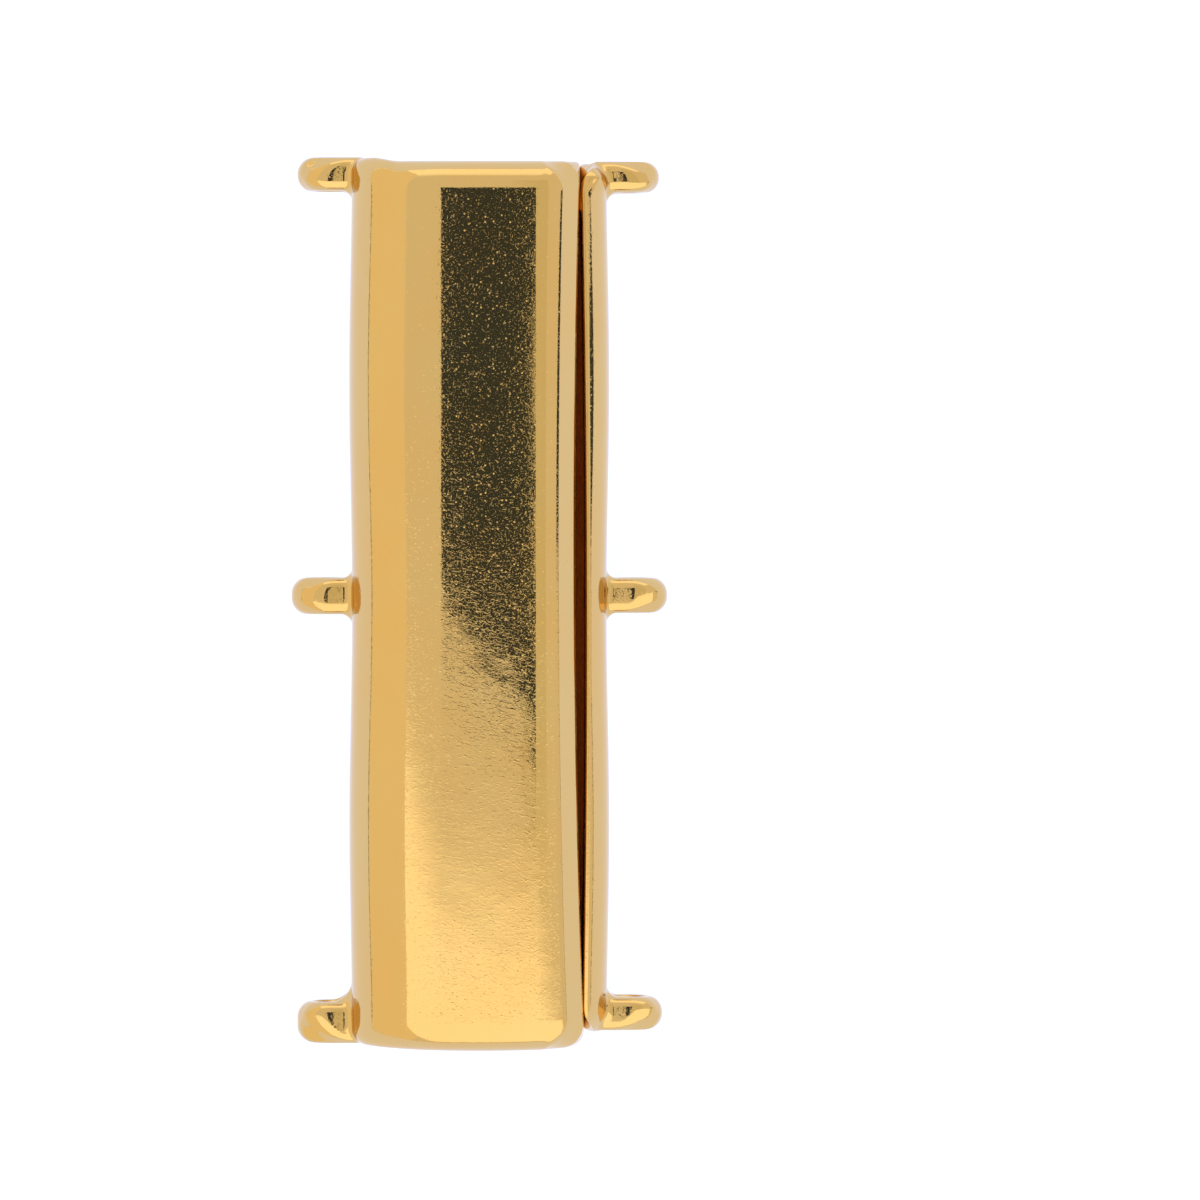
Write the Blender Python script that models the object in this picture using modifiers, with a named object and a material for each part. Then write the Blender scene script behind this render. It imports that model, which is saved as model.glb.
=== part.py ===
# Magnetic clasp for three strands: a box half and a plug half, each cast in one piece with three eyes.
# Metres, +Z up. The long axis is Y, the clasp opens along +X, and it lies on its flat back at Z = 0.

import math

import bmesh
import bpy

# Driving dimensions, in millimetres

LENGTH = 30.6                # overall, along Y
HOLE_SPACING = 10.6          # across the clasp, between the centres of the middle eyes' holes
THICKNESS = 5.4              # from the flat back to the crown

# Box half: a flat back, upright sides, a long shoulder on the left and a short one at the mouth
BOX_LEFT = -4.375            # where the upright left side stands
BOX_MOUTH = 3.35             # where the mouth stands on the nominal section
BOX_TOP_END = 15.12          # the end towards +Y
SIDE_BULGE = 0.10            # the cast sides swell between the eyes by this much
LEFT_SHOULDER = (3.2, 2.5)   # width and height of the rounding
MOUTH_SHOULDER = (1.4, 2.1)
CROWN_RADIUS = 75.0          # the crown is nearly flat
CROWN_CENTRE = 0.33
LEFT_FOOT = 1.0              # radius of the lower left edge
MOUTH_FOOT = 0.5
END_ROUND = 1.0              # the ends, seen from the side
END_ROUND_BACK = 0.5
END_ROUND_PLAN = 0.48        # the ends' corners, seen from above
END_BOW = 0.16               # the end towards -Y bows out by this much at its middle
CORNER_RAISE = 0.14          # the end towards +Y stands this much further out beside the end eye
CORNER_START = -2.7          # where that raised corner begins

# The seam bows open at the middle: each edge is a value at the middle, a bow towards the ends and a slant
MOUTH_EDGE = (3.24, 0.25, -0.045)
FLANGE_EDGE = (3.715, -0.155, -0.02)

# Plug half
FLANGE_RIGHT = 4.37
FLANGE_ENDS = (-14.76, 15.07)
FLANGE_CREST = 4.42          # height of the flange's upper inner edge
FLANGE_ARC = 1.93            # radius of its outer rounding
FLANGE_FOOT = 0.6
FLANGE_ROUND_PLAN = 0.3
EDGE_ROUND = 0.1             # the flange's inner edges
TONGUE_LENGTH = 27.5         # along Y
TONGUE_THICKNESS = 2.4
TONGUE_END = -1.45           # how far it reaches into the box
TONGUE_ROUND = 0.35
FIT = 0.12                   # clearance all round the tongue
SOCKET_BACK = 0.6            # thickness of the box's back under the socket
SOCKET_DEEPER = 0.15         # between the tongue's end and the socket's floor

# Magnets, one row in the socket's floor and one in the tongue's end
MAGNET_RADIUS = 0.98
MAGNET_LENGTH = 1.78
MAGNET_PITCH = 9.5
MAGNET_FIT = 0.06            # round the disc and behind it
MAGNET_SET_BACK = 0.02       # the disc's face lies just under the metal's

# Eyes, each a round-ended lug with a hole along Y
EYE_RADIUS = 1.175           # half the lug's height, and the radius of its round end
EYE_HEIGHT = 1.975           # of the hole's centre
HOLE_RADIUS = 0.55
EYE_EDGE = 0.33              # rounding of the lug's long edges
EYE_ROOT = 0.6               # how far the lug's root runs into its half
MIDDLE_REACH = HOLE_SPACING / 2 + EYE_RADIUS

# side, height along Y, width along Y, reach from the centre line, fillet towards +Y, fillet towards -Y
EYES = {
    "box_top": dict(side=-1, y=LENGTH / 2 - 0.58, width=1.16, reach=6.26, fillet_up=0.0, fillet_down=0.35),
    "box_middle": dict(side=-1, y=0.235, width=1.26, reach=MIDDLE_REACH, fillet_up=0.35, fillet_down=0.40),
    "box_bottom": dict(side=-1, y=-14.40, width=1.46, reach=6.28, fillet_up=0.48, fillet_down=0.0),
    "plug_top": dict(side=1, y=14.62, width=1.06, reach=6.19, fillet_up=0.0, fillet_down=0.42),
    "plug_middle": dict(side=1, y=0.253, width=1.21, reach=MIDDLE_REACH, fillet_up=0.35, fillet_down=0.38),
    "plug_bottom": dict(side=1, y=-14.13, width=1.15, reach=6.30, fillet_up=0.40, fillet_down=0.0),
}

MM = 0.001
CUT_BEYOND = 0.8             # a cutter runs this far past the face that it opens


def clear_scene():
    for old in list(bpy.data.objects):
        bpy.data.objects.remove(old, do_unlink=True)


def collection(name):
    made = bpy.data.collections.new(name)
    bpy.context.scene.collection.children.link(made)
    return made


def metal(name, colour, roughness):
    made = bpy.data.materials.new(name)
    made.use_nodes = True
    shader = made.node_tree.nodes["Principled BSDF"]
    shader.inputs["Base Color"].default_value = (*colour, 1.0)
    shader.inputs["Metallic"].default_value = 1.0
    shader.inputs["Roughness"].default_value = roughness
    return made


def new_object(name, bm, home, material=None):
    bmesh.ops.recalc_face_normals(bm, faces=bm.faces)
    mesh = bpy.data.meshes.new(name)
    bm.to_mesh(mesh)
    bm.free()
    mesh.shade_smooth()
    mesh.set_sharp_from_angle(angle=math.radians(35))
    made = bpy.data.objects.new(name, mesh)
    home.objects.link(made)
    if material:
        mesh.materials.append(material)
    else:
        made.hide_render = True
        made.display_type = "WIRE"
    return made


def combine(target, tool, operation):
    step = target.modifiers.new(f"{operation.lower()} {tool.name}", "BOOLEAN")
    step.object = tool
    step.operation = operation
    step.solver = "EXACT"


def arc(centre, radii, start, end, steps):
    """Points of an elliptical arc in the XZ plane, angles in degrees from +X towards +Z."""
    points = []
    for i in range(steps + 1):
        angle = math.radians(start + (end - start) * i / steps)
        points.append((centre[0] + radii[0] * math.cos(angle), centre[1] + radii[1] * math.sin(angle)))
    return points


def round_inset(distance, radius):
    """How far a rounded end has drawn in at this distance from its tip."""
    if distance >= radius:
        return 0.0
    return radius - math.sqrt(radius ** 2 - (radius - distance) ** 2)


def smooth_step(value):
    value = min(max(value, 0.0), 1.0)
    return value * value * (3 - 2 * value)


def seam_edge(edge, y):
    middle, bow, slant = edge
    along = 2 * y / LENGTH
    return middle + bow * along ** 2 + slant * along


def side_bulge(y):
    return SIDE_BULGE * math.sin(2 * math.pi * y / LENGTH) ** 2


def stations(low, high, inner):
    """Y positions of a loft's sections: closely spaced round both ends, evenly spaced between."""
    steps = 5
    ends = [END_ROUND * (1 - math.cos(math.radians(90 * i / steps))) for i in range(steps + 1)]
    first, last = low + END_ROUND, high - END_ROUND
    middle = [first + (last - first) * i / inner for i in range(1, inner)]
    return [low + t for t in ends] + middle + [high - t for t in reversed(ends)]


def loft(name, rings, home, material=None):
    """Skins a row of rings, each a closed list of points in millimetres, and caps both ends."""
    bm = bmesh.new()
    rows = [[bm.verts.new([c * MM for c in point]) for point in ring] for ring in rings]
    for a, b in zip(rows, rows[1:]):
        for i in range(len(a)):
            j = (i + 1) % len(a)
            bm.faces.new((a[i], a[j], b[j], b[i]))
    caps = [bm.faces.new(rows[0]), bm.faces.new(rows[-1])]
    bmesh.ops.triangulate(bm, faces=caps)
    return new_object(name, bm, home, material)


def block(name, low, high, rounding, home):
    """A box between two corners in millimetres, its edges rounded."""
    bm = bmesh.new()
    bmesh.ops.create_cube(bm, size=1.0)
    for vertex in bm.verts:
        vertex.co = [(a + (b - a) * (c + 0.5)) * MM for a, b, c in zip(low, high, vertex.co)]
    made = new_object(name, bm, home)
    bevel = made.modifiers.new("rounded edges", "BEVEL")
    bevel.width = rounding * MM
    bevel.segments = 2
    return made


def rod(name, centre, radius, length, axis, sides, home, material=None):
    """A round bar about its centre, in millimetres, lying along X or Y."""
    bm = bmesh.new()
    bmesh.ops.create_cone(bm, cap_ends=True, segments=sides, radius1=radius * MM, radius2=radius * MM,
                          depth=length * MM)
    made = new_object(name, bm, home, material)
    made.location = [c * MM for c in centre]
    made.rotation_euler = (0, math.pi / 2, 0) if axis == "X" else (math.pi / 2, 0, 0)
    return made


def box_section():
    """The box's cross-section, from the lower left edge round by the mouth and the crown."""
    shoulder_x = BOX_LEFT + LEFT_SHOULDER[0]
    mouth_x = BOX_MOUTH - MOUTH_SHOULDER[0]
    crown_edge = THICKNESS - (mouth_x - CROWN_CENTRE) ** 2 / (2 * CROWN_RADIUS)
    shoulder_z = crown_edge - LEFT_SHOULDER[1]
    mouth_z = crown_edge - MOUTH_SHOULDER[1]
    points = arc((BOX_MOUTH - MOUTH_FOOT, MOUTH_FOOT), (MOUTH_FOOT, MOUTH_FOOT), -90, 0, 3)
    points += arc((mouth_x, mouth_z), MOUTH_SHOULDER, 0, 90, 7)
    for i in range(1, 4):
        x = mouth_x + (shoulder_x - mouth_x) * i / 4
        points.append((x, THICKNESS - (x - CROWN_CENTRE) ** 2 / (2 * CROWN_RADIUS)))
    points += arc((shoulder_x, shoulder_z), LEFT_SHOULDER, 90, 180, 9)
    points += arc((BOX_LEFT + LEFT_FOOT, LEFT_FOOT), (LEFT_FOOT, LEFT_FOOT), 180, 270, 4)
    return points


def box_ring(section, y):
    """The section as it stands at this Y: drawn in round the ends, following the seam and the left side."""
    low, high = -LENGTH / 2, BOX_TOP_END
    near = min(y - low, high - y)
    top = THICKNESS - round_inset(near, END_ROUND)
    back = round_inset(near, END_ROUND_BACK)
    plan = round_inset(near, END_ROUND_PLAN)
    mouth_shift = seam_edge(MOUTH_EDGE, y) - BOX_MOUTH
    ring = []
    crown_half = (BOX_MOUTH - MOUTH_SHOULDER[0]) - CROWN_CENTRE
    for x, z in section:
        right = smooth_step((x - crown_half) / (BOX_MOUTH - crown_half))
        left = smooth_step((-crown_half - x) / (-crown_half - BOX_LEFT))
        new_x = x + right * (mouth_shift - plan) - left * (side_bulge(y) - plan)
        if near >= END_ROUND:
            lift = 0.0
        elif y < 0:
            lift = END_BOW * (x / BOX_LEFT) ** 2
        else:
            lift = CORNER_RAISE * smooth_step(CORNER_START - x)
        ring.append((new_x, y + lift, back + (top - back) * z / THICKNESS))
    return ring


def flange_ring(y):
    """The flange's cross-section at this Y: inner face, crest, outer rounding and flat back."""
    low, high = FLANGE_ENDS
    near = min(y - low, high - y)
    crest = FLANGE_CREST - round_inset(near, END_ROUND)
    back = round_inset(near, END_ROUND_BACK)
    plan = round_inset(near, FLANGE_ROUND_PLAN)
    inner = seam_edge(FLANGE_EDGE, y) + plan
    outer = FLANGE_RIGHT + side_bulge(y) - plan
    reach = (inner + EDGE_ROUND - (outer - FLANGE_ARC)) / FLANGE_ARC
    crest_angle = math.degrees(math.acos(reach))
    arc_centre = (outer - FLANGE_ARC, crest - FLANGE_ARC * math.sin(math.radians(crest_angle)))
    points = arc((outer - FLANGE_FOOT, back + FLANGE_FOOT), (FLANGE_FOOT, FLANGE_FOOT), -90, 0, 3)
    points += arc(arc_centre, (FLANGE_ARC, FLANGE_ARC), 0, crest_angle, 6)
    points += arc((inner + EDGE_ROUND, crest - EDGE_ROUND), (EDGE_ROUND, EDGE_ROUND), 100, 180, 2)
    points += arc((inner + EDGE_ROUND, back + EDGE_ROUND), (EDGE_ROUND, EDGE_ROUND), 180, 270, 2)
    return [(x, y, z) for x, z in points]


def eye_ring(t, eye, height, up, down):
    """A rounded rectangle across the lug at distance t from the centre line."""
    corner = min(EYE_EDGE, 0.98 * height, 0.98 * min(up, down))
    corners = [((up - corner, height - corner), 0), ((-down + corner, height - corner), 90),
               ((-down + corner, -height + corner), 180), ((up - corner, -height + corner), 270)]
    ring = []
    for (cy, cz), start in corners:
        ring += [(eye["side"] * t, eye["y"] + y, EYE_HEIGHT + z)
                 for y, z in arc((cy, cz), (corner, corner), start, start + 90, 3)]
    return ring


def eye_body(name, eye, wall, home):
    """A lug from inside its half out to its round tip, with a fillet where it leaves the wall."""
    half = eye["width"] / 2
    centre = eye["reach"] - EYE_RADIUS
    rings = [eye_ring(wall - EYE_ROOT, eye, EYE_RADIUS, 0.6 * half, 0.6 * half)]
    for i in range(4):
        angle = math.radians(90 * i / 3)
        up, down = [half + eye[f] * (1 - math.sin(angle)) for f in ("fillet_up", "fillet_down")]
        longest = max(eye["fillet_up"], eye["fillet_down"])
        rings.append(eye_ring(wall + longest * (1 - math.cos(angle)), eye, EYE_RADIUS, up, down))
    for angle in (90, 75, 60, 46, 33, 21, 10, 4):
        t = centre + EYE_RADIUS * math.cos(math.radians(angle))
        height = EYE_RADIUS * math.sin(math.radians(angle))
        beyond = max(t - (eye["reach"] - half), 0.0)
        width = math.sqrt(max(half ** 2 - beyond ** 2, 0.0))
        rings.append(eye_ring(t, eye, height, width, width))
    return loft(name, rings, home)


def add_eyes(half, prefix, wall, tools):
    names = [name for name in EYES if name.startswith(prefix)]
    for name in names:
        combine(half, eye_body(f"eye_{name}", EYES[name], wall, tools), "UNION")
    for name in names:
        eye = EYES[name]
        centre = (eye["side"] * (eye["reach"] - EYE_RADIUS), eye["y"], EYE_HEIGHT)
        hole = rod(f"hole_{name}", centre, HOLE_RADIUS, eye["width"] + 2 * CUT_BEYOND, "Y", 20, tools)
        combine(half, hole, "DIFFERENCE")


def magnets(prefix, face, direction, half, material, parts, tools):
    """Three discs set flush in blind holes; direction is the way each hole runs in from the face."""
    middle_z = SOCKET_BACK + FIT + TONGUE_THICKNESS / 2
    for i in range(3):
        y = MAGNET_PITCH * (1 - i)
        disc_x = face + direction * (MAGNET_SET_BACK + MAGNET_LENGTH / 2)
        rod(f"{prefix}_magnet_{i + 1}", (disc_x, y, middle_z), MAGNET_RADIUS, MAGNET_LENGTH, "X", 24, parts,
            material)
        depth = MAGNET_SET_BACK + MAGNET_LENGTH + MAGNET_FIT
        hole_x = face + direction * (depth - CUT_BEYOND) / 2
        hole = rod(f"{prefix}_magnet_hole_{i + 1}", (hole_x, y, middle_z), MAGNET_RADIUS + MAGNET_FIT,
                   depth + CUT_BEYOND, "X", 24, tools)
        combine(half, hole, "DIFFERENCE")


def build():
    clear_scene()
    parts = collection("magnetic_clasp")
    tools = collection("cutters")
    box_gold = metal("gold plate on the box half", (0.86, 0.60, 0.25), 0.08)
    plug_gold = metal("gold plate on the plug half", (0.86, 0.60, 0.25), 0.10)
    nickel = metal("nickel plate on the magnets", (0.62, 0.60, 0.56), 0.2)

    section = box_section()
    box_rings = [box_ring(section, y) for y in stations(-LENGTH / 2, BOX_TOP_END, 9)]
    box = loft("box_half", box_rings, parts, box_gold)
    add_eyes(box, "box", -BOX_LEFT, tools)
    tongue_low = SOCKET_BACK + FIT
    tongue_high = tongue_low + TONGUE_THICKNESS
    socket_end = TONGUE_END - SOCKET_DEEPER
    socket = block("socket", (socket_end, -TONGUE_LENGTH / 2 - FIT, SOCKET_BACK),
                   (BOX_MOUTH + CUT_BEYOND, TONGUE_LENGTH / 2 + FIT, tongue_high + FIT), TONGUE_ROUND, tools)
    combine(box, socket, "DIFFERENCE")
    magnets("box", socket_end, -1, box, nickel, parts, tools)

    plug = loft("plug_half", [flange_ring(y) for y in stations(*FLANGE_ENDS, 9)], parts, plug_gold)
    add_eyes(plug, "plug", FLANGE_RIGHT, tools)
    inside_flange = FLANGE_RIGHT - 0.3
    tongue = block("tongue", (TONGUE_END, -TONGUE_LENGTH / 2, tongue_low),
                   (inside_flange, TONGUE_LENGTH / 2, tongue_high), TONGUE_ROUND, tools)
    combine(plug, tongue, "UNION")
    magnets("plug", TONGUE_END, 1, plug, nickel, parts, tools)


build()
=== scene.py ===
# Gold-plated magnetic clasp for three strands: two polished castings, magnets, the studio and the camera
import math

import bmesh
import bpy
import numpy as np
from mathutils import Matrix, Vector


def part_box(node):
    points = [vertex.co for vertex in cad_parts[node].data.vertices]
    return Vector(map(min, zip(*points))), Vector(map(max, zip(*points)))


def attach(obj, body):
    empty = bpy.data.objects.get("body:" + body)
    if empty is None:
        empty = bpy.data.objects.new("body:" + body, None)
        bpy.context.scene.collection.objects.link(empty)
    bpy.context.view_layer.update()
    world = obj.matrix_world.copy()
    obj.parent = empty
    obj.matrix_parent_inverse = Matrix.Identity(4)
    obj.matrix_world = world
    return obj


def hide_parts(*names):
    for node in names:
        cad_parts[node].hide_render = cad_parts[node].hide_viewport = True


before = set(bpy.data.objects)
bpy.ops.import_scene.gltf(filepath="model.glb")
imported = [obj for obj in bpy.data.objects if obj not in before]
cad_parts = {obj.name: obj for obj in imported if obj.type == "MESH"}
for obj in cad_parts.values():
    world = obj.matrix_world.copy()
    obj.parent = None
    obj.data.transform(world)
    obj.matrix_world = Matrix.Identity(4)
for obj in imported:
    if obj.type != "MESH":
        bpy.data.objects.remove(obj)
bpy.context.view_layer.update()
print("frame loaded:", ", ".join(sorted(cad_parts)))

mm = 0.001                         # shapes are worked out in millimetres and made in metres
claspLength = 30.6
thickness = 5.4
sideSwelling = 0.10
arcShare = 0.9                     # an arc is followed over this part of its radius


# Rules for depths: a depth is how far a point lies outside the metal, in millimetres, negative inside it

def easeStep(value):               # 0 to 1 with a soft start and end
    value = np.clip(value, 0.0, 1.0)
    return value * value * (3 - 2 * value)


def roundedCut(a, b, radius):      # what both have in common, its outer edge rounded
    a, b = a + radius, b + radius
    return np.minimum(np.maximum(a, b), 0) + np.hypot(np.maximum(a, 0), np.maximum(b, 0)) - radius


def filletedJoin(a, b, radius):    # both together, with a fillet where they meet
    return -roundedCut(-a, -b, radius)


def cornerDepth(x, z, radiusX, radiusZ):       # a quarter of an ellipse, x and z out from its centre
    x, z = np.maximum(x, 1e-4), np.maximum(z, 1e-4)            # never quite at the centre, to divide safely
    reach = np.hypot(x / radiusX, z / radiusZ)
    return reach * (reach - 1) / np.hypot(x / radiusX ** 2, z / radiusZ ** 2)


def roundedBlock(x, y, z, low, high, radius):  # a block from corner to corner, all its edges rounded
    away = [np.maximum(a - c, c - b) + radius for c, a, b in zip((x, y, z), low, high)]
    outside = np.sqrt(sum(np.maximum(a, 0) ** 2 for a in away))
    return outside + np.minimum(np.maximum(np.maximum(away[0], away[1]), away[2]), 0) - radius


def seamEdge(edge, y):             # an edge's X along the seam, from its middle, its bow and its slant
    along = 2 * y / claspLength
    return edge[0] + edge[1] * along ** 2 + edge[2] * along


def sideSwell(y):                  # the cast sides swell a little between the eyes
    return sideSwelling * np.sin(2 * np.pi * y / claspLength) ** 2


# Casting a depth rule into a mesh: one corner for each cell that the surface crosses, drawn onto the surface

castingSteps = {
    "passes": 5, "farthest": 0.04,             # how often a corner moves, and how many mm at most each time
    "probe": 0.002, "normalProbe": 0.006,      # mm to either side of a corner, to measure a slope
    "flattest": 0.05,                          # the least squared slope that a move reckons with
}


def gridLines(low, high, coarse, fine, fineParts):         # from, to, both steps, where the fine one holds
    lines, at = [], low
    while at < high:
        lines.append(at)
        near = any(a <= at < b for a, b in fineParts)
        at += fine if near else coarse
    return np.array(lines + [high])


def slopeOf(rule, points, step):   # which way the depth grows fastest at each point
    slope = np.empty_like(points)
    for axis in range(3):
        shift = np.zeros(3)
        shift[axis] = step
        slope[:, axis] = (rule(*(points + shift).T) - rule(*(points - shift).T)) / (2 * step)
    return slope


def castMesh(name, rule, grid, finishes, whichFinish):
    lines = [gridLines(*grid[axis]) for axis in "xyz"]
    depth = rule(*np.meshgrid(*lines, indexing="ij"))
    inside = depth < 0
    cells = tuple(n - 1 for n in inside.shape)
    total, hits = np.zeros(cells + (3,)), np.zeros(cells)
    for axis in range(3):          # where each grid edge meets the surface
        a = np.moveaxis(depth, axis, 0)
        crossed = (a[:-1] < 0) != (a[1:] < 0)
        part = np.where(crossed, a[:-1] / np.where(crossed, a[:-1] - a[1:], 1), 0)
        along = np.diff(lines[axis])[:, None, None] * part + lines[axis][:-1, None, None]
        others = [i for i in range(3) if i != axis]
        for first in (0, 1):
            for second in (0, 1):
                cut = (slice(None), slice(first, cells[others[0]] + first),
                       slice(second, cells[others[1]] + second))
                hit = np.moveaxis(crossed[cut], 0, axis)
                place = np.moveaxis(np.where(crossed, along, 0)[cut], 0, axis)
                total[..., axis] += place
                hits += hit
                for other, shift in zip(others, (first, second)):
                    at = lines[other][shift:cells[other] + shift]
                    shape = [1, 1, 1]
                    shape[other] = cells[other]
                    total[..., other] += hit * at.reshape(shape)
    used = hits > 0
    index = np.full(cells, -1)
    index[used] = np.arange(used.sum())
    points = total[used] / hits[used][:, None]
    steps = castingSteps
    for _ in range(steps["passes"]):           # each corner slides along the slope until its depth is 0
        slope = slopeOf(rule, points, steps["probe"])
        value = rule(*points.T)
        move = value / np.maximum((slope ** 2).sum(1), steps["flattest"])
        points -= np.clip(move[:, None] * slope, -steps["farthest"], steps["farthest"])
    normals = slopeOf(rule, points, steps["normalProbe"])
    normals /= np.linalg.norm(normals, axis=1)[:, None]

    faces = []
    for axis in range(3):          # four cells round every crossed grid edge make a face
        a = np.moveaxis(inside, axis, 0)
        one, two = [i for i in range(3) if i != axis]
        flips = (a[:-1] != a[1:])[:, 1:-1, 1:-1]
        where = np.argwhere(flips)
        where[:, 1:] += 1
        outward = a[:-1][tuple(where.T)]           # metal before the edge: the face looks along the axis
        corners = []
        for first, second in ((-1, -1), (0, -1), (0, 0), (-1, 0)):
            cell = np.empty_like(where)
            cell[:, axis] = where[:, 0]
            cell[:, one] = where[:, 1] + first
            cell[:, two] = where[:, 2] + second
            corners.append(index[tuple(cell.T)])
        quads = np.stack(corners, 1)
        turned = outward if axis != 1 else ~outward            # round Y the corners run the other way
        quads[~turned] = quads[~turned][:, ::-1]
        faces.append(quads)
    faces = np.concatenate(faces)

    mesh = bpy.data.meshes.new(name)
    mesh.from_pydata((points * mm).tolist(), [], faces.tolist())
    mesh.validate()
    mesh.shade_smooth()
    mesh.normals_split_custom_set_from_vertices(normals.tolist())
    for finish in finishes:
        mesh.materials.append(finish)
    middles = points[faces].mean(1)
    mesh.polygons.foreach_set("material_index", whichFinish(*middles.T).astype(np.int32))
    piece = bpy.data.objects.new(name, mesh)
    bpy.context.scene.collection.objects.link(piece)
    print(f"{name}: {len(faces)} faces")
    return piece


# Materials

def fromHex(code):                 # sRGB hex to linear
    channels = [int(code[i:i + 2], 16) / 255 for i in (1, 3, 5)]
    return [c / 12.92 if c <= 0.04045 else ((c + 0.055) / 1.055) ** 2.4 for c in channels] + [1.0]


def addNode(tree, kind, links=(), **settings):
    node = tree.nodes.new(kind)
    for name, value in settings.items():
        if name[0].isupper():      # a socket, the others are the node's own settings
            node.inputs[name.replace("_", " ")].default_value = value
        else:
            setattr(node, name, value)
    for socket, source in dict(links).items():
        tree.links.new(source, node.inputs[socket])
    return node


# Gold plate on polished brass mirrors the room in a warm, slightly green yellow, and its marks show as fine
# specks wherever the room goes from pale to dark. Sizes are in mm. Real grain and scratches are some microns
# wide: they are drawn some hundredths of a millimetre wide, as coarse as they need to be to show.
polishedPlate = {
    "colour": "#D1B170", "warmColour": "#D6A962",     # the warm one where the wheel has thinned the plate
    "roughness": 0.02, "worn": 0.035,                 # as plated, and where it is handled
    "cloudsPerMm": 0.35,
    "waveLength": 1.3, "waveHeight": 0.0036,          # slow waves left by the wheel
    "strokeLength": 0.24, "strokeWidth": 0.10, "strokeHeight": 0.00045, "strokeTurn": -14,    # degrees
    "grainSize": 0.065, "grainHeight": 0.00012, "grainRoughness": 0.20,   # the plate's own grain
    "speckSpacing": 0.14, "speckSize": 0.032, "speckHeight": 0.0026,      # pimples of the casting
    "scratchLength": 0.34, "scratchWidth": 0.075, "scratchReach": 0.7, "scratchDepth": 0.0008,
    "scratchTurns": ((25, 1.7), (-38, 5.3), (80, 9.1)),                   # degrees, and where each set starts
}


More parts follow.
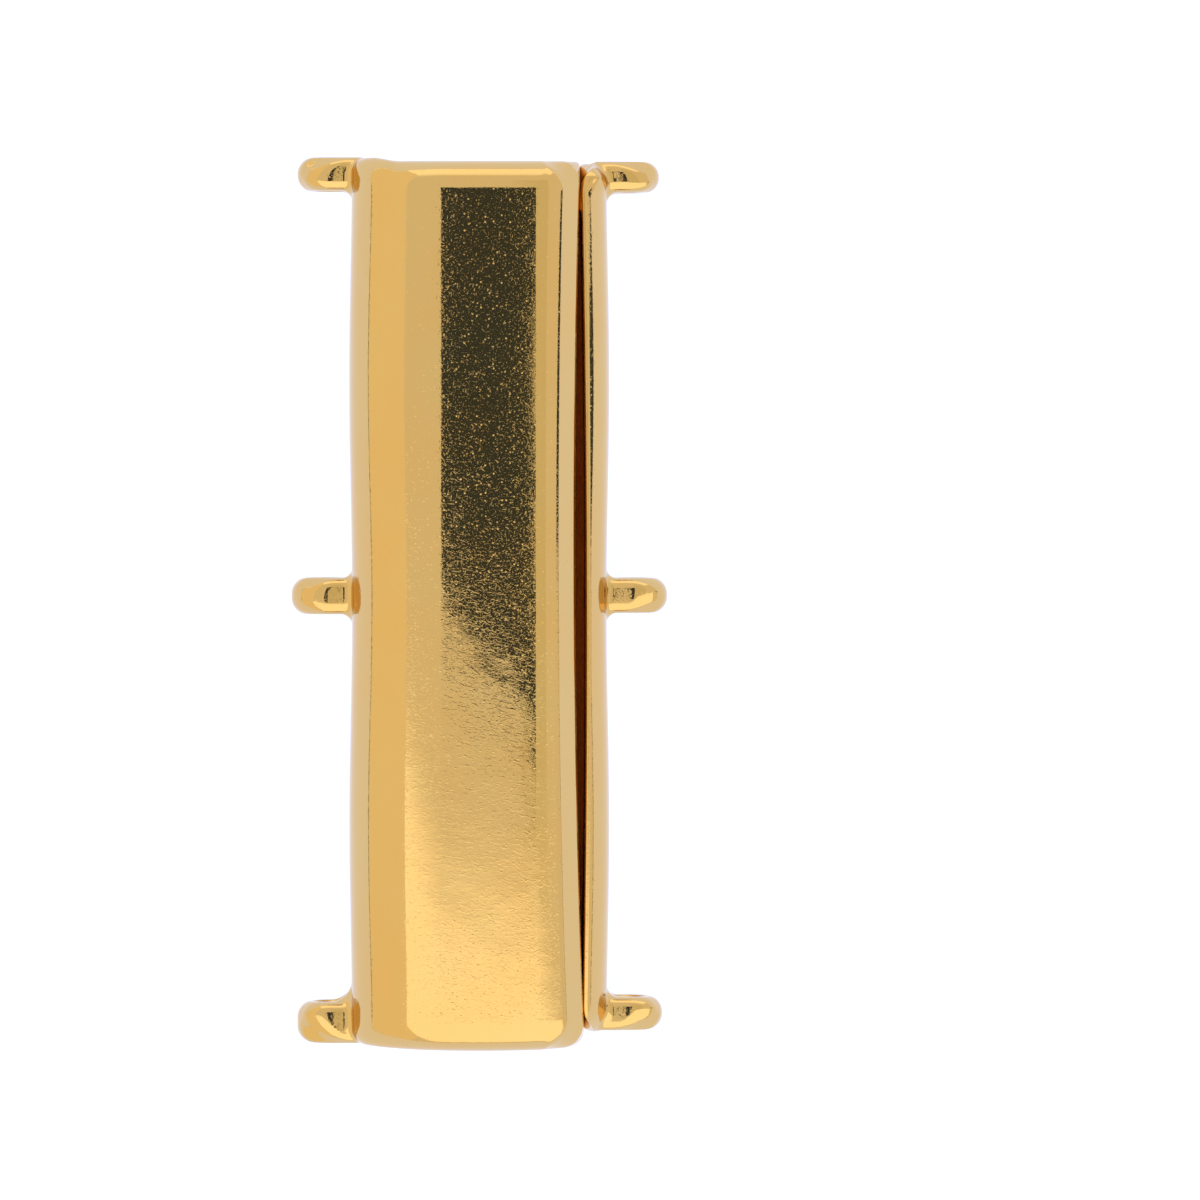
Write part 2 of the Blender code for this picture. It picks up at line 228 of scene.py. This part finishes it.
def plateGold(name, look, shift):  # the shift keeps the two halves' marks from being the same
    made = bpy.data.materials.new(name)
    made.use_nodes = True
    tree = made.node_tree
    shader = tree.nodes["Principled BSDF"]
    shader.inputs["Metallic"].default_value = 1.0
    place = addNode(tree, "ShaderNodeTexCoord")
    inMm = addNode(tree, "ShaderNodeMapping", {"Vector": place.outputs["Object"]},
                   Scale=(1 / mm, 1 / mm, 1 / mm), Location=(shift, 2 * shift, 0))
    at = inMm.outputs[0]
    waves = addNode(tree, "ShaderNodeTexNoise", {"Vector": at}, Scale=1 / look["waveLength"], Detail=1.5)

    turned = addNode(tree, "ShaderNodeMapping", {"Vector": at}, vector_type="TEXTURE",
                     Rotation=(0, 0, math.radians(look["strokeTurn"])),
                     Scale=(look["strokeLength"], look["strokeWidth"], look["strokeWidth"]))
    field = addNode(tree, "ShaderNodeTexNoise", {"Vector": turned.outputs[0]}, Scale=1.0, Detail=1.5,
                    Distortion=0.9)
    strokes = addNode(tree, "ShaderNodeMapRange", {"Value": field.outputs["Fac"]},
                      From_Min=0.50, From_Max=0.80)

    grain = addNode(tree, "ShaderNodeTexNoise", {"Vector": at}, Scale=1 / look["grainSize"], Detail=1.0)
    cells = addNode(tree, "ShaderNodeTexVoronoi", {"Vector": at}, Scale=1 / look["speckSpacing"])
    size = look["speckSize"] / look["speckSpacing"]
    dot = addNode(tree, "ShaderNodeMapRange", {"Value": cells.outputs["Distance"]},
                  From_Min=0.3 * size, From_Max=size, To_Min=1.0, To_Max=0.0)
    picked = addNode(tree, "ShaderNodeSeparateColor", {"Color": cells.outputs["Color"]})
    kept = addNode(tree, "ShaderNodeMapRange", {"Value": picked.outputs["Red"]},
                   From_Min=0.47, From_Max=1.0)        # about half of the cells hold a speck
    specks = addNode(tree, "ShaderNodeMath", {0: dot.outputs[0], 1: kept.outputs[0]}, operation="MULTIPLY")

    parts = [(waves.outputs["Fac"], look["waveHeight"]), (strokes.outputs[0], look["strokeHeight"]),
             (grain.outputs["Fac"], look["grainHeight"]), (specks.outputs[0], look["speckHeight"])]
    for angle, seed in look["scratchTurns"]:
        along = addNode(tree, "ShaderNodeMapping", {"Vector": at}, vector_type="TEXTURE",
                        Location=(seed, seed, seed), Rotation=(0, 0, math.radians(angle)),
                        Scale=(look["scratchLength"], look["scratchWidth"], look["scratchReach"]))
        cells = addNode(tree, "ShaderNodeTexVoronoi", {"Vector": along.outputs[0]}, Scale=1.0)
        line = addNode(tree, "ShaderNodeMapRange", {"Value": cells.outputs["Distance"]},
                       From_Min=0.10, From_Max=0.24, To_Min=1.0, To_Max=0.0)
        picked = addNode(tree, "ShaderNodeSeparateColor", {"Color": cells.outputs["Color"]})
        kept = addNode(tree, "ShaderNodeMapRange", {"Value": picked.outputs["Green"]},
                       From_Min=0.55, From_Max=1.0)
        scratch = addNode(tree, "ShaderNodeMath", {0: line.outputs[0], 1: kept.outputs[0]},
                          operation="MULTIPLY")
        parts.append((scratch.outputs[0], -look["scratchDepth"]))
    height = None
    for source, factor in parts:   # all the marks' heights are added up
        links = {0: source} if height is None else {0: source, 2: height.outputs[0]}
        height = addNode(tree, "ShaderNodeMath", links, operation="MULTIPLY_ADD")
        height.inputs[1].default_value = factor
        if len(links) == 1:
            height.inputs[2].default_value = 0.0
    bump = addNode(tree, "ShaderNodeBump", {"Height": height.outputs[0]}, Distance=mm, Strength=1.0)
    tree.links.new(bump.outputs[0], shader.inputs["Normal"])

    cloud = addNode(tree, "ShaderNodeTexNoise", {"Vector": at}, Scale=look["cloudsPerMm"], Detail=4.0)
    colour = addNode(tree, "ShaderNodeMix", {"Factor": cloud.outputs["Fac"]}, data_type="RGBA")
    colour.inputs[6].default_value = fromHex(look["colour"])
    colour.inputs[7].default_value = fromHex(look["warmColour"])
    tree.links.new(colour.outputs[2], shader.inputs["Base Color"])
    dull = addNode(tree, "ShaderNodeMapRange", {"Value": cloud.outputs["Fac"]}, From_Min=0.35, From_Max=0.7,
                   To_Min=look["roughness"], To_Max=look["worn"])
    mottle = addNode(tree, "ShaderNodeMapRange", {"Value": grain.outputs["Fac"]},
                     From_Min=0.52, From_Max=0.78, To_Min=0.0, To_Max=look["grainRoughness"])
    rough = addNode(tree, "ShaderNodeMath", {0: dull.outputs[0], 1: mottle.outputs[0]}, operation="ADD")
    tree.links.new(rough.outputs[0], shader.inputs["Roughness"])
    return made


# Metals with a grain instead of a polish, sizes in mm. Real grain is some microns to hundredths of a
# millimetre wide: it is drawn about 0.09 mm wide, as coarse as it needs to be to show.
# the inside's dark brown is painted shade that darkens the socket, the tongue and the seam
unpolishedPaintedShadePlate = {
    "colour": "#6E340C",           # the plate where no wheel reaches: a dull brown, darkened as painted shade to keep the seam dark
    "grain": 0.09, "grainHeight": 0.003, "roughness": 0.50, "roughest": 0.70,
}
satinPlate = {
    "colour": "#F3C369",           # the seam's walls: a soft shine, orange where the plate mirrors itself
    "grain": 0.09, "grainHeight": 0.001, "roughness": 0.30, "roughest": 0.45,
}
nickelPlate = {
    "colour": "#C9C4BA",           # nickel plate: a slightly warm grey with a soft shine
    "grain": 1 / 12, "grainHeight": 0.004, "roughness": 0.16, "roughest": 0.30,
}


def grainedMetal(name, look):
    made = bpy.data.materials.new(name)
    made.use_nodes = True
    tree = made.node_tree
    shader = tree.nodes["Principled BSDF"]
    shader.inputs["Metallic"].default_value = 1.0
    shader.inputs["Base Color"].default_value = fromHex(look["colour"])
    place = addNode(tree, "ShaderNodeTexCoord")
    inMm = addNode(tree, "ShaderNodeMapping", {"Vector": place.outputs["Object"]},
                   Scale=(1 / mm, 1 / mm, 1 / mm))
    grain = addNode(tree, "ShaderNodeTexNoise", {"Vector": inMm.outputs[0]},
                    Scale=1 / look["grain"], Detail=3.0)
    rough = addNode(tree, "ShaderNodeMapRange", {"Value": grain.outputs["Fac"]}, From_Min=0.3, From_Max=0.7,
                    To_Min=look["roughness"], To_Max=look["roughest"])
    tree.links.new(rough.outputs[0], shader.inputs["Roughness"])
    bump = addNode(tree, "ShaderNodeBump", {"Height": grain.outputs["Fac"]},
                   Distance=look["grainHeight"] * mm, Strength=1.0)
    tree.links.new(bump.outputs[0], shader.inputs["Normal"])
    return made


boxGold = plateGold("cast brass, gold plated and polished, box half", polishedPlate, 3.7)
plugGold = plateGold("cast brass, gold plated and polished, plug half", polishedPlate, 11.3)
# the inside's material: unpolished rough plate, its dark brown painted shade
insidePaintedShadeGold = grainedMetal("cast brass, gold plated, unpolished inside", unpolishedPaintedShadePlate)
seamGold = grainedMetal("cast brass, gold plated, satin in the seam", satinPlate)
magnetNickel = grainedMetal("pressed magnet, nickel plated", nickelPlate)
print("materials made")


# Eyes: round-ended lugs with a hole along Y

eyeShape = {
    "radius": 1.175, "holeHeight": 1.975, "holeRadius": 0.55, "holeRim": 0.12, "holeFrom": 0.1,
    "edge": 0.33, "tipEdge": 0.55, "tipShare": 0.94,           # rounding at the root, and at the tip
    "rootDepth": 0.6, "flushFillet": 0.05, "topFillet": 0.25, "topFilletFrom": 0.7, "topFilletOver": 0.5,
    "topLean": 0.053, "leanOver": 0.8,
    "tipBow": 0.8, "crown": 0.05, "flatFrom": 0.5, "flatOver": 0.5,      # the flat on top
    "span": 2.2, "blend": 0.05,
}
boxEyes = [    # along Y, width, reach from the centre, fillets towards +Y and -Y, skew and tilt of the top
    (14.715, 1.16, 6.26, 0.0, 0.35, 0.7, 0.0),
    (0.235, 1.26, 6.470, 0.35, 0.40, 0.25, -0.01),
    (-14.43, 1.42, 6.28, 0.75, 0.0, -0.7, -0.058),
]
plugEyes = [
    (14.62, 1.06, 6.19, 0.0, 0.42, 0.7, 0.0),
    (0.253, 1.21, 6.470, 0.35, 0.38, -0.25, -0.015),
    (-14.13, 1.15, 6.30, 0.40, 0.0, -0.7, -0.058),
]


def withEyes(body, x, y, z, side, eyes, wall):
    e = eyeShape
    out = side * x
    for middle, width, reach, filletUp, filletDown, skew, tilt in eyes:
        near = np.abs(y - middle) < e["span"]
        if not near.any():
            continue
        half = width / 2
        centre = reach - e["radius"]
        v, w = y - middle, z - e["holeHeight"]
        # the flat on top leans, bows and tilts a little, as castings do
        inward = (centre - out + np.hypot(centre - out, e["blend"])) / 2
        w = w + e["topLean"] * inward * easeStep(w / e["leanOver"])
        flat = easeStep((w - e["flatFrom"]) / e["flatOver"])
        tipOut = out - centre + (e["tipBow"] * v ** 2 + skew * v) * flat
        w = w + (e["crown"] * v ** 2 - tilt * v) * flat
        # the lug seen along Y, then its rounded sides and the hole
        profile = np.hypot((tipOut + np.hypot(tipOut, e["blend"])) / 2, w) - e["radius"]
        profile = np.maximum(profile, wall - e["rootDepth"] - out)
        tip = easeStep((out - centre) / e["radius"])
        edge = e["edge"] + (min(e["tipEdge"], e["tipShare"] * half) - e["edge"]) * tip
        lug = roundedCut(profile, np.abs(v) - half, edge)
        hole = np.hypot(out - centre, w) - e["holeRadius"]
        # its fillets to the body: one for each side, a smaller one on top and underneath
        up, down = [max(f, e["flushFillet"]) for f in (filletUp, filletDown)]
        fillet = down + (up - down) * easeStep((v / half + 1) / 2)
        overTop = easeStep((np.abs(w) - e["topFilletFrom"]) / e["topFilletOver"])
        flush = easeStep(np.where(v > 0, filletUp <= 0, filletDown <= 0) * np.abs(v) / half)
        fillet = fillet + (e["topFillet"] - fillet) * overTop * (1 - flush)
        joined = filletedJoin(body, lug, fillet)
        drilled = roundedCut(joined, -hole, e["holeRim"])
        drilled = np.where(out > wall - e["holeFrom"], drilled, joined)
        body = np.where(near, drilled, body)
    return body


# Holes for the magnets, along X: three in the socket's floor and three in the tongue's end

magnetHoles = {"rows": (9.5, 0.0, -9.5), "height": 1.92, "radius": 1.04, "rim": 0.04}


def withMagnetHoles(body, y, z, ends):
    for row in magnetHoles["rows"]:
        bore = np.maximum(np.hypot(y - row, z - magnetHoles["height"]) - magnetHoles["radius"], ends)
        body = roundedCut(body, -bore, magnetHoles["rim"])
    return body


# Box half: the domed casting with the socket

boxCasting = {
    "left": -4.375, "mouth": 3.35, "topEnd": 15.12, "bottomEnd": -15.296,
    "leftShoulder": (3.11, 2.5), "mouthShoulder": 1.4, "leftFoot": 1.0, "mouthFoot": 0.5,
    "mouthSlope": 51.0, "mouthHeight": 4.31, "mouthRounding": 0.40,      # the slope beside the seam
    "crownRadius": 75.0, "crownCentre": 0.33,
    "endRound": 1.0, "endRoundPlan": 0.48, "endRoundFrom": 3.2, "endRoundOver": 1.6,
    "topCorner": 0.12, "topCornerFrom": 2.2, "topCornerOver": 0.8,
    "endBow": 0.16, "cornerRaise": 0.14, "cornerStart": -2.7,
    "mouthEdge": (3.285, 0.24, -0.07), "mouthRim": 0.06,
    "socketLow": (-1.60, -13.87, 0.60), "socketHigh": (6.0, 13.87, 3.24), "socketRound": 0.35,
    "magnetFloor": -3.46,
    "wallReach": 0.03, "insideRound": 0.3, "insideReach": 0.05,          # where the finishes change and the socket's painted shade starts
}
boxGrid = {    # from, to, coarse step, fine step, and the stretches with the fine one
    "x": (-6.63, 3.70, 0.1, 0.055, [(2.4, 3.6)]),
    "y": (-15.43, 15.44, 0.25, 0.1, [(-15.5, -13.3), (-0.9, 1.35), (13.4, 15.5)]),
    "z": (-0.13, 5.52, 0.1, 0.1, []),
}


def boxDepth(x, y, z):
    b = boxCasting
    # the seam's bow, the side's swelling and the crown's fall are taken out of x and z
    crownHalf = b["mouth"] - b["mouthShoulder"] - b["crownCentre"]
    right = easeStep((x - crownHalf) / (b["mouth"] - crownHalf))
    left = easeStep((-crownHalf - x) / (-crownHalf - b["left"]))
    sx = x - right * (seamEdge(b["mouthEdge"], y) - b["mouth"]) + left * sideSwell(y)
    off = np.abs(sx - b["crownCentre"])
    drop = np.where(off < crownHalf, off ** 2, 2 * crownHalf * off - crownHalf ** 2) / (2 * b["crownRadius"])
    sz = z + drop * easeStep(z / thickness)
    # the left side is a shoulder over a rounded foot, the right one a slope over the mouth
    shoulderX, shoulderZ = b["left"] + b["leftShoulder"][0], thickness - b["leftShoulder"][1]
    footX = b["left"] + b["leftFoot"]
    leftSide = np.maximum(np.maximum(b["left"] - sx, sz - thickness), -sz)
    leftSide = np.where((sx < shoulderX) & (sz > shoulderZ),
                        cornerDepth(shoulderX - sx, sz - shoulderZ, *b["leftShoulder"]), leftSide)
    leftSide = np.where((sx < footX) & (sz < b["leftFoot"]),
                        cornerDepth(footX - sx, b["leftFoot"] - sz, b["leftFoot"], b["leftFoot"]), leftSide)
    slope = math.radians(b["mouthSlope"])
    chamfer = (sx - b["mouth"]) * math.sin(slope) + (z - b["mouthHeight"]) * math.cos(slope)
    rightSide = roundedCut(sz - thickness, chamfer, b["mouthRounding"])
    rightSide = roundedCut(rightSide, sx - b["mouth"], b["mouthRim"])
    rightSide = roundedCut(rightSide, -sz, b["mouthFoot"])
    body = np.where(sx < 0, leftSide, rightSide)
    # both ends are nearly flat, with rounder edges at the top
    topEnd = b["topEnd"] + b["cornerRaise"] * easeStep(b["cornerStart"] - x)
    bottomEnd = b["bottomEnd"] + b["endBow"] * (x / b["left"]) ** 2
    ends = np.maximum(y - topEnd, bottomEnd - y)
    high = easeStep((z - b["endRoundFrom"]) / b["endRoundOver"])
    atCorner = easeStep((x - b["topCornerFrom"]) / b["topCornerOver"])
    plan = b["endRoundPlan"] + (b["topCorner"] - b["endRoundPlan"]) * atCorner * (y > 0)
    body = roundedCut(body, ends, plan + (b["endRound"] - plan) * high)
    body = withEyes(body, x, y, z, -1, boxEyes, -b["left"])
    socket = roundedBlock(x, y, z, b["socketLow"], b["socketHigh"], b["socketRound"])
    body = roundedCut(body, -socket, b["mouthRim"])
    return withMagnetHoles(body, y, z, np.maximum(b["magnetFloor"] - x, x))


def boxFinish(x, y, z):            # 0 polished, 1 the seam's wall, 2 the socket, unpolished and painted dark brown as shade
    b = boxCasting
    wall = x > seamEdge(b["mouthEdge"], y) - b["wallReach"]
    # the socket's faces take the painted shade brown
    socket = roundedBlock(x, y, z, b["socketLow"], b["socketHigh"], b["insideRound"]) < b["insideReach"]
    return np.where(socket, 2, np.where(wall, 1, 0))


boxHalf = castMesh("goldBoxHalf", boxDepth, boxGrid, (boxGold, seamGold, insidePaintedShadeGold), boxFinish)
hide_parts("box_half")
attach(boxHalf, "box")


# Plug half: flange, tongue and eyes in one casting

plugCasting = {
    "right": 4.37, "ends": (-14.76, 15.07), "crest": 4.20, "arc": 1.93, "foot": 0.6,
    "flangeEdge": (3.645, -0.155, -0.02), "edgeRound": 0.18, "topCorner": 0.1,
    "endRound": 1.0, "endRoundPlan": 0.3, "endRoundFrom": 2.2, "endRoundOver": 1.6,
    "closeTo": 0.75, "closeOver": 0.6, "seamLeft": 0.02,                 # the seam closes at both ends
    "padLength": 1.85, "padOver": 0.25, "padTop": 4.13, "padRise": -0.03, "padEdge": 0.12,
    "endArc": 0.55, "endArcFrom": 13.85, "endArcOver": 0.8,              # the flange is fuller at its top end
    "endLean": 0.06, "endLeanFrom": 13.6, "endLeanOver": 0.8,            # and leans outward there
    "tongueLow": (-1.45, -13.75, 0.72), "tongueHigh": (4.07, 13.75, 3.12), "tongueRound": 0.35,
    "tongueFillet": 0.08, "magnetFloor": 0.41,
    "wallReach": 0.012, "insideRound": 0.3, "insideReach": 0.05,         # where the finishes change and the tongue's painted shade starts
    "insideTo": 13.4, "insideEdge": 3.0,
}
plugGrid = {   # from, to, coarse step, fine step, and the stretches with the fine one
    "x": (-1.58, 6.62, 0.1, 0.032, [(3.4, 4.05)]),
    "y": (-14.93, 15.28, 0.25, 0.1, [(-15.0, -13.2), (-0.9, 1.35), (13.3, 15.5)]),
    "z": (-0.13, 4.55, 0.1, 0.06, [(3.4, 4.3)]),
}


def plugDepth(x, y, z):
    p = plugCasting
    # the flange's inner edge follows the seam and closes it at the ends
    outer = p["right"] + sideSwell(y)
    inner = seamEdge(p["flangeEdge"], y)
    fromEnd = np.where(y > 0, boxCasting["topEnd"] - y, y - boxCasting["bottomEnd"])
    plan = np.where(y > 0, boxCasting["topCorner"], boxCasting["endRoundPlan"])
    corner = np.clip(plan - fromEnd, 0, arcShare * plan)
    mouth = seamEdge(boxCasting["mouthEdge"], y) - plan + np.sqrt(plan ** 2 - corner ** 2)
    padTop = p["padTop"] + p["padRise"] * fromEnd
    pad = easeStep((p["padLength"] - fromEnd) / p["padOver"]) * easeStep((padTop - z) / p["padEdge"])
    closed = np.maximum(easeStep((p["closeTo"] - fromEnd) / p["closeOver"]), pad)
    inner = inner + (np.minimum(mouth + p["seamLeft"], inner) - inner) * closed
    # its outer side is an arc that falls from the crest
    arc = p["arc"] + (p["endArc"] - p["arc"]) * easeStep((y - p["endArcFrom"]) / p["endArcOver"])
    arcX = outer - arc
    edge = seamEdge(p["flangeEdge"], y) + p["edgeRound"]
    arcZ = p["crest"] - np.sqrt(arc ** 2 - np.minimum(np.abs(edge - arcX), arcShare * arc) ** 2)
    leaning = z + p["endLean"] * (x - edge) * easeStep((y - p["endLeanFrom"]) / p["endLeanOver"])
    dome = np.hypot(np.maximum(x - arcX, 0), np.maximum(leaning - arcZ, 0)) - arc
    back = roundedCut(dome, -z, p["foot"])
    flange = roundedCut(back, inner - x, p["edgeRound"])
    ends = np.maximum(y - p["ends"][1], p["ends"][0] - y)
    high = easeStep((z - p["endRoundFrom"]) / p["endRoundOver"])
    plan = np.where(y > 0, p["topCorner"], p["endRoundPlan"])
    flange = roundedCut(flange, ends, plan + (p["endRound"] - plan) * high)
    flange = withEyes(flange, x, y, z, 1, plugEyes, p["right"])
    tongue = roundedBlock(x, y, z, p["tongueLow"], p["tongueHigh"], p["tongueRound"])
    body = filletedJoin(flange, tongue, p["tongueFillet"])
    return withMagnetHoles(body, y, z, x - p["magnetFloor"])


def plugFinish(x, y, z):           # 0 polished, 1 the seam's wall and pads, 2 the tongue, painted dark brown as shade
    p = plugCasting
    wall = x < seamEdge(p["flangeEdge"], y) + p["wallReach"]
    tongue = roundedBlock(x, y, z, p["tongueLow"], p["tongueHigh"], p["insideRound"]) < p["insideReach"]
    # faces deep in the seam take the painted shade brown
    paintedShadeMask = (tongue & (np.abs(y) < p["insideTo"])) | (x < p["insideEdge"])
    return np.where(wall, np.where(paintedShadeMask, 2, 1), 0)


plugHalf = castMesh("goldPlugHalf", plugDepth, plugGrid, (plugGold, seamGold, insidePaintedShadeGold), plugFinish)
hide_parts("plug_half")
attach(plugHalf, "plug")


# Magnets: pressed discs with rounded rims, nickel plated

magnetDisc = {"radius": 0.98, "length": 1.78, "rim": 0.12, "rimSteps": 4, "sides": 64}


def addMagnet(node, body):
    low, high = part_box(node)
    bm = bmesh.new()
    bmesh.ops.create_cone(bm, cap_ends=True, segments=magnetDisc["sides"], radius1=magnetDisc["radius"] * mm,
                          radius2=magnetDisc["radius"] * mm, depth=magnetDisc["length"] * mm)
    rims = [e for e in bm.edges if any(len(f.verts) > 4 for f in e.link_faces)]
    bmesh.ops.bevel(bm, geom=rims, offset=magnetDisc["rim"] * mm, segments=magnetDisc["rimSteps"],
                    profile=0.5, affect="EDGES")
    mesh = bpy.data.meshes.new(node + "_disc")
    bm.to_mesh(mesh)
    bm.free()
    mesh.shade_smooth()
    mesh.materials.append(magnetNickel)
    disc = bpy.data.objects.new(node + "_disc", mesh)
    bpy.context.scene.collection.objects.link(disc)
    disc.rotation_euler = (0, math.pi / 2, 0)
    disc.location = (low + high) / 2
    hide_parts(node)
    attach(disc, body)


for number in (1, 2, 3):
    addMagnet(f"box_magnet_{number}", "box")
    addMagnet(f"plug_magnet_{number}", "plug")
print("magnets made")


# Studio: a table that glows, a pale room, a dark card round the lens, strips and a softbox, in mm.
# The polished gold shows little but these, so each one stands where the photograph's reflections ask for it.

table = {"half": 700.0, "colour": "#6F6F76", "glow": "#D3DEFF", "strength": 1.34, "roughness": 0.9}
roomLight = {"colour": "#FFFFFF", "strength": 1.0}
cardHeight = 300.0
cardOutline = (                    # cut with a wavy edge
    (-17.8, -4.7), (-7.3, -7.5), (-1.3, -9.2), (6.3, -10.3), (12.3, -11.9), (14.5, -13.2), (16.8, -18.5),
    (18.4, -18.5), (17.8, -12.3), (16.3, -1.3), (16.9, 7.0), (15.8, 10.5), (15.8, 15.0), (18.8, 20.0),
    (19.8, 60.0), (-21.3, 60.0), (-21.2, 20.0), (-19.6, 12.0), (-21.0, 4.2), (-19.8, -1.3),
)
panels = {
    "lensCard": {                  # the crown mirrors it as a dark strip, the eyes' flats as dark marks
        "cloth": "black card round the lens", "colour": "#424B56", "strength": 1.0,
        "corners": [(x, y, cardHeight) for x, y in cardOutline],
    },
    "rightCeiling": {              # the crown's right edge mirrors it, beside the strip
        "cloth": "pale ceiling cloth", "colour": "#FFFFF1", "strength": 1.0,
        "fade": {"along": (0, -1, 0), "from": 16, "to": 28, "low": 0.90, "high": 1.02},
        "corners": [(12, -28, 301), (260, -28, 301), (260, 240, 301), (12, 240, 301)],
    },
    "rightStrip": {                # the dark line down the flange's upper half
        "cloth": "black card at the right", "colour": "#424B56", "strength": 1.0,
        "corners": [(250, -0.7, 0), (250, 24, 0), (250, 24, 12), (250, 15, 50), (250, -0.7, 54)],
    },
    "rightLine": {                 # this and leftLine: thin lines where the sides start to mirror the table
        "cloth": "grey card at the right", "colour": "#FFFFFF", "strength": 0.25,
        "corners": [(500, -60, 0), (500, 60, 0), (500, 60, 11), (500, -60, 11)],
    },
    "leftLine": {
        "cloth": "grey card at the left", "colour": "#FFFFFF", "strength": 0.25,
        "corners": [(-500, -60, 0), (-500, 60, 0), (-500, 60, 9), (-500, -60, 9)],
    },
    "leftWall": {                  # the left shoulder mirrors it
        "cloth": "warm wall paint", "colour": "#FFF8E6", "strength": 1.16,
        "corners": [(-251, -600, 9), (-251, 600, 9), (-251, 600, 300), (-251, -600, 300)],
    },
    "softbox": {                   # the crown's lower half mirrors it, brightest at the end
        "cloth": "softbox cloth", "colour": "#FFFFFF", "strength": 1.0,
        "fade": {"along": (-0.0355, -1, 0), "from": 19.5, "to": 32, "low": 1.0, "high": 1.65},
        "corners": [(-250, -6, 304), (700, -38, 304), (900, -700, 70), (-100, -700, 70)],
    },
    "farLight": {                  # the rounded edges that face the top mirror it
        "cloth": "far light cloth", "colour": "#FFFFFF", "strength": 1.0,
        "fade": {"along": (0, 0, 1), "from": 230, "to": 420, "low": 1.6, "high": 1.0},
        "corners": [(-700, 600, 5), (520, 600, 5), (520, 600, 430), (-700, 600, 430)],
    },
}


def glowingCloth(look):            # evenly lit, or fading from one brightness to another
    made = bpy.data.materials.new(look["cloth"])
    made.use_nodes = True
    tree = made.node_tree
    tree.nodes.remove(tree.nodes["Principled BSDF"])
    glow = addNode(tree, "ShaderNodeEmission", Color=fromHex(look["colour"]), Strength=look["strength"])
    tree.links.new(glow.outputs[0], tree.nodes["Material Output"].inputs[0])
    fade = look.get("fade")
    if fade:
        place = addNode(tree, "ShaderNodeTexCoord")
        along = addNode(tree, "ShaderNodeVectorMath", {0: place.outputs["Object"]}, operation="DOT_PRODUCT")
        along.inputs[1].default_value = fade["along"]
        ramp = addNode(tree, "ShaderNodeMapRange", {"Value": along.outputs["Value"]},
                       interpolation_type="SMOOTHSTEP", From_Min=fade["from"] * mm, From_Max=fade["to"] * mm,
                       To_Min=fade["low"], To_Max=fade["high"])
        tree.links.new(ramp.outputs[0], glow.inputs["Strength"])
    return made


def addPanel(name, corners, material, seen=False):
    mesh = bpy.data.meshes.new(name)
    mesh.from_pydata([Vector(c) * mm for c in corners], [], [tuple(range(len(corners)))])
    mesh.materials.append(material)
    made = bpy.data.objects.new(name, mesh)
    bpy.context.scene.collection.objects.link(made)
    if not seen:                   # only the metal sees it
        made.visible_camera = False
        made.visible_shadow = False


tableTop = bpy.data.materials.new("white acrylic, matt, lit from below")
tableTop.use_nodes = True
acrylic = tableTop.node_tree.nodes["Principled BSDF"]
acrylic.inputs["Base Color"].default_value = fromHex(table["colour"])
acrylic.inputs["Roughness"].default_value = table["roughness"]
acrylic.inputs["Specular IOR Level"].default_value = 0.0
acrylic.inputs["Emission Color"].default_value = fromHex(table["glow"])
acrylic.inputs["Emission Strength"].default_value = table["strength"]
half = table["half"]
tableCorners = [(-half, -half, 0), (half, -half, 0), (half, half, 0), (-half, half, 0)]
addPanel("table", tableCorners, tableTop, seen=True)
for name, look in panels.items():
    addPanel(name, look["corners"], glowingCloth(look))

world = bpy.data.worlds.new("pale studio room")
bpy.context.scene.world = world
world.use_nodes = True
background = world.node_tree.nodes["Background"]
background.inputs["Color"].default_value = fromHex(roomLight["colour"])
background.inputs["Strength"].default_value = roomLight["strength"]
print("studio made")


# Camera: straight above, a little off the middle as in the photograph

view = {
    "from": (0.3, 5.6, 305.0), "lookAt": (4.14, 0.10, 3.0),    # mm
    "lens": 264.0, "sensor": 36.0,                             # mm
    "nearest": 0.01, "farthest": 5.0,                          # metres
}
eyePoint, lookAt = Vector(view["from"]) * mm, Vector(view["lookAt"]) * mm
cameraData = bpy.data.cameras.new("camera")
cameraData.sensor_width = view["sensor"]
cameraData.lens = view["lens"]
cameraData.clip_start = view["nearest"]
cameraData.clip_end = view["farthest"]
camera = bpy.data.objects.new("camera", cameraData)
bpy.context.scene.collection.objects.link(camera)
camera.location = eyePoint
forward = (lookAt - eyePoint).normalized()
right = forward.cross(Vector((0, 1, 0))).normalized()
up = right.cross(forward)
camera.rotation_mode = "QUATERNION"
camera.rotation_quaternion = Matrix((right, up, -forward)).transposed().to_quaternion()
bpy.context.scene.camera = camera
bpy.context.scene.view_settings.view_transform = "Standard"
print("camera set")
